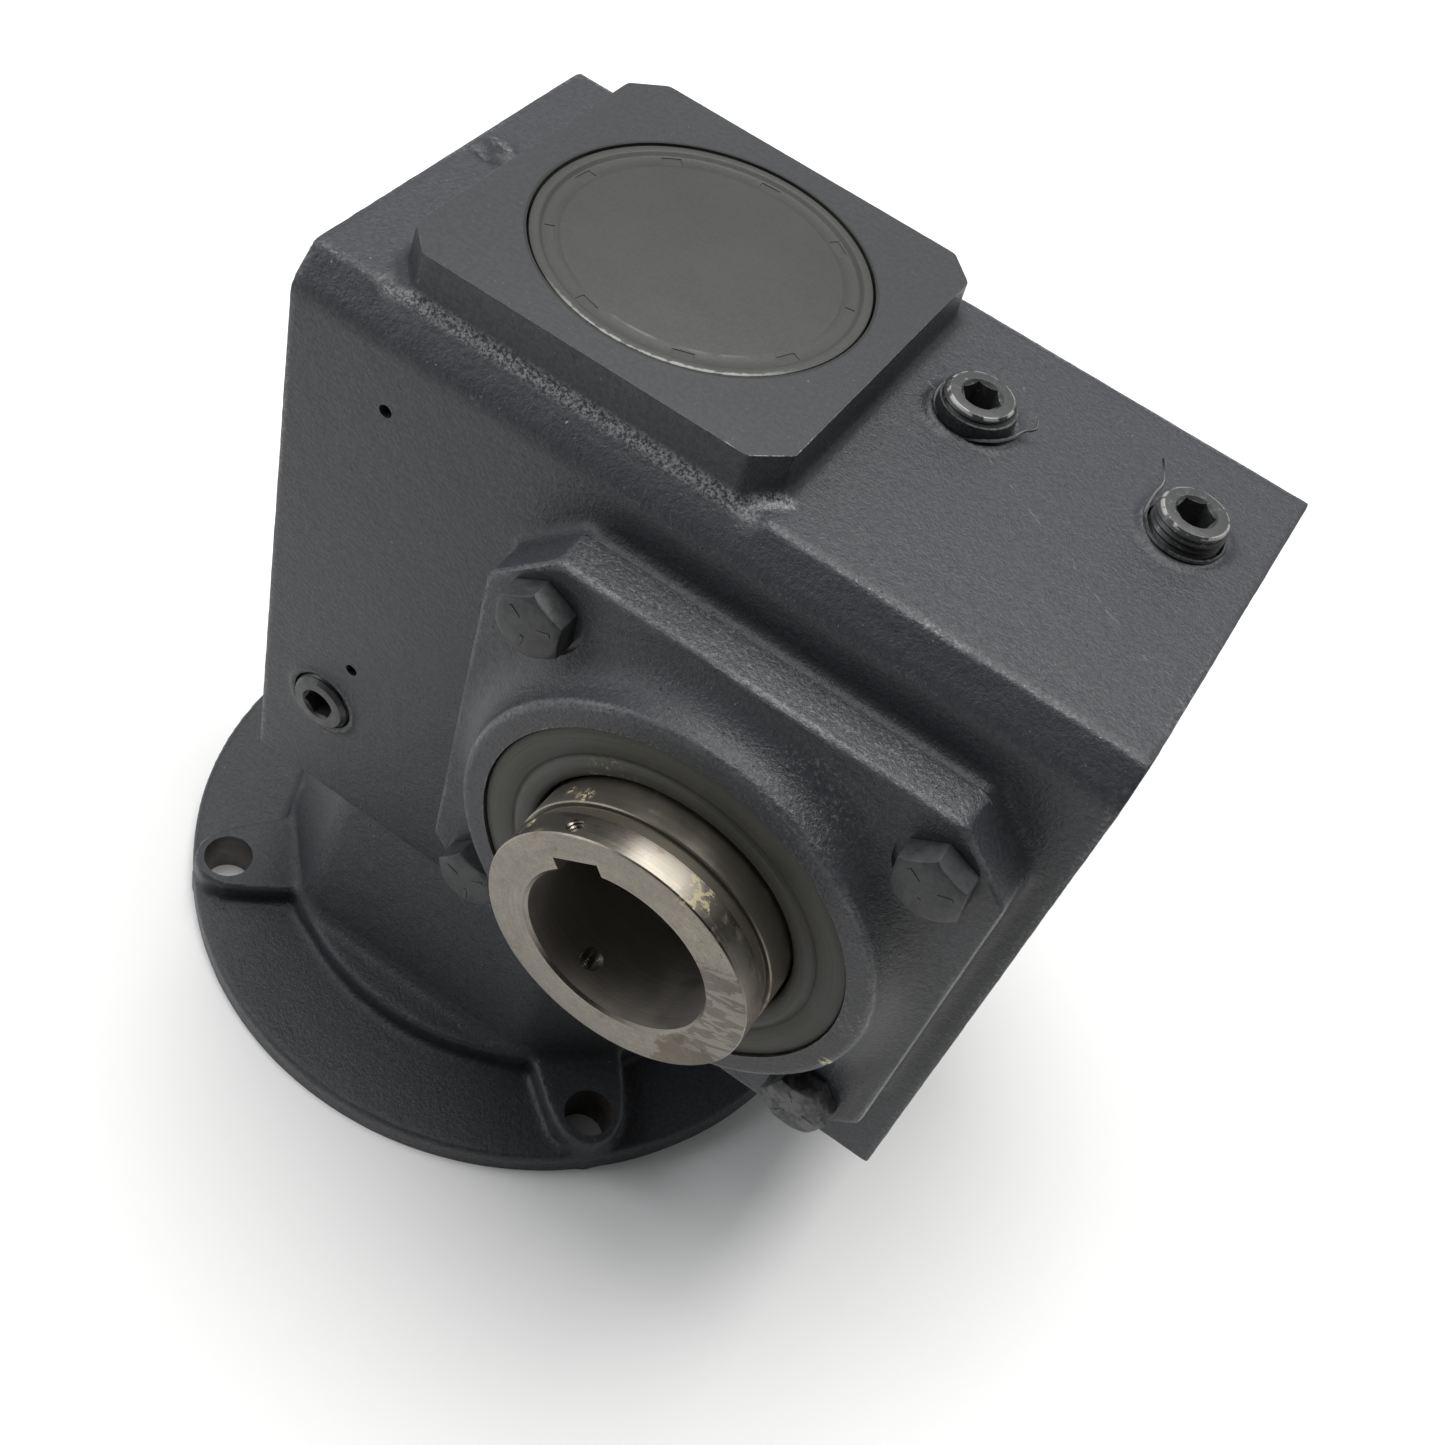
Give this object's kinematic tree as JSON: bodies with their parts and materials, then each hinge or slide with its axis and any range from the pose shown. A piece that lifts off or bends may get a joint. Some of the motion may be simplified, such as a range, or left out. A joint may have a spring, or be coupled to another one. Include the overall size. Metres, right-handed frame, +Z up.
{
  "type": "worm gearbox",
  "caption": "Right-angle worm reducer with a round motor flange, box gearcase, bolted square output covers and a hollow keyed output shaft driven by a worm and bronze wheel.",
  "frame": {"origin": "middle of the footprint, on the plane of the motor face at the bottom", "axes": "+Z up along the worm axis; +Y along the output shaft to the back, so the front cover faces -Y; +X from the worm to the output side"},
  "size_m": [0.1926, 0.165, 0.1954],
  "materials": {
    "cast_paint": "satin dark grey paint over rough sand-cast iron",
    "cap_paint": "smooth satin dark grey",
    "gasket": "fibre sheet",
    "bolt_paint": "satin dark grey paint over zinc plated steel",
    "dark_steel": "dark, semi-gloss, bright worn edges",
    "machined_steel": "turned steel with light rust stains",
    "bearing_steel": "ground steel",
    "cage_steel": "pressed steel",
    "bronze": "machined bronze",
    "seal_rubber": "matte grey-green"
  },
  "bodies": {
    "housing": {"gearcase": "cast_paint", "motor_flange": "cast_paint", "front_cover": "cast_paint", "rear_cover": "cast_paint", "end_cap": "cap_paint", "flange_gasket": "gasket", "front_cover_gasket": "gasket", "rear_cover_gasket": "gasket", "front_cover_bolt_1": "bolt_paint", "front_cover_bolt_2": "bolt_paint", "front_cover_bolt_3": "bolt_paint", "front_cover_bolt_4": "bolt_paint", "rear_cover_bolt_1": "bolt_paint", "rear_cover_bolt_2": "bolt_paint", "rear_cover_bolt_3": "bolt_paint", "rear_cover_bolt_4": "bolt_paint", "top_plug_1": "dark_steel", "top_plug_2": "dark_steel", "front_plug": "dark_steel", "rear_plug": "dark_steel", "flange_screw_1": "dark_steel", "flange_screw_2": "dark_steel", "flange_screw_3": "dark_steel", "flange_screw_4": "dark_steel", "front_bearing_cup": "bearing_steel", "rear_bearing_cup": "bearing_steel", "worm_lower_bearing_outer_ring": "bearing_steel", "worm_upper_bearing_outer_ring": "bearing_steel", "worm_retaining_ring": "bearing_steel", "front_output_seal": "seal_rubber", "rear_output_seal": "seal_rubber", "input_seal": "seal_rubber"},
    "output": {"output_shaft": "machined_steel", "worm_wheel": "bronze", "wheel_key": "machined_steel", "wheel_spacer": "bearing_steel", "front_bearing_cone": "bearing_steel", "rear_bearing_cone": "bearing_steel"},
    "worm": {"worm_shaft": "machined_steel", "worm_lower_bearing_inner_ring": "bearing_steel", "worm_upper_bearing_inner_ring": "bearing_steel"},
    "front_rollers": {"front_bearing_rollers": "cage_steel"},
    "rear_rollers": {"rear_bearing_rollers": "cage_steel"},
    "lower_balls": {"worm_lower_bearing_balls": "cage_steel"},
    "upper_balls": {"worm_upper_bearing_balls": "cage_steel"}
  },
  "joints": [
    {"name": "output_spin", "type": "hinge", "parent": "housing", "child": "output", "pos_m": [0.03868, 0, 0.1192], "axis": [0, 1, 0], "continuous": true},
    {"name": "worm_spin", "type": "hinge", "parent": "housing", "child": "worm", "pos_m": [-0.01372, 0, 0.1192], "axis": [0, 0, 1], "continuous": true},
    {"name": "front_rollers_spin", "type": "hinge", "parent": "housing", "child": "front_rollers", "pos_m": [0.03868, 0, 0.1192], "axis": [0, 1, 0], "continuous": true},
    {"name": "rear_rollers_spin", "type": "hinge", "parent": "housing", "child": "rear_rollers", "pos_m": [0.03868, 0, 0.1192], "axis": [0, 1, 0], "continuous": true},
    {"name": "lower_balls_spin", "type": "hinge", "parent": "housing", "child": "lower_balls", "pos_m": [-0.01372, 0, 0.1192], "axis": [0, 0, 1], "continuous": true},
    {"name": "upper_balls_spin", "type": "hinge", "parent": "housing", "child": "upper_balls", "pos_m": [-0.01372, 0, 0.1192], "axis": [0, 0, 1], "continuous": true}
  ],
  "couplings": [
    {"joint": "worm_spin", "follows": "output_spin", "ratio": -30},
    {"joint": "front_rollers_spin", "follows": "output_spin", "ratio": 0.43},
    {"joint": "rear_rollers_spin", "follows": "output_spin", "ratio": 0.43},
    {"joint": "lower_balls_spin", "follows": "output_spin", "ratio": -12},
    {"joint": "upper_balls_spin", "follows": "output_spin", "ratio": -12}
  ]
}
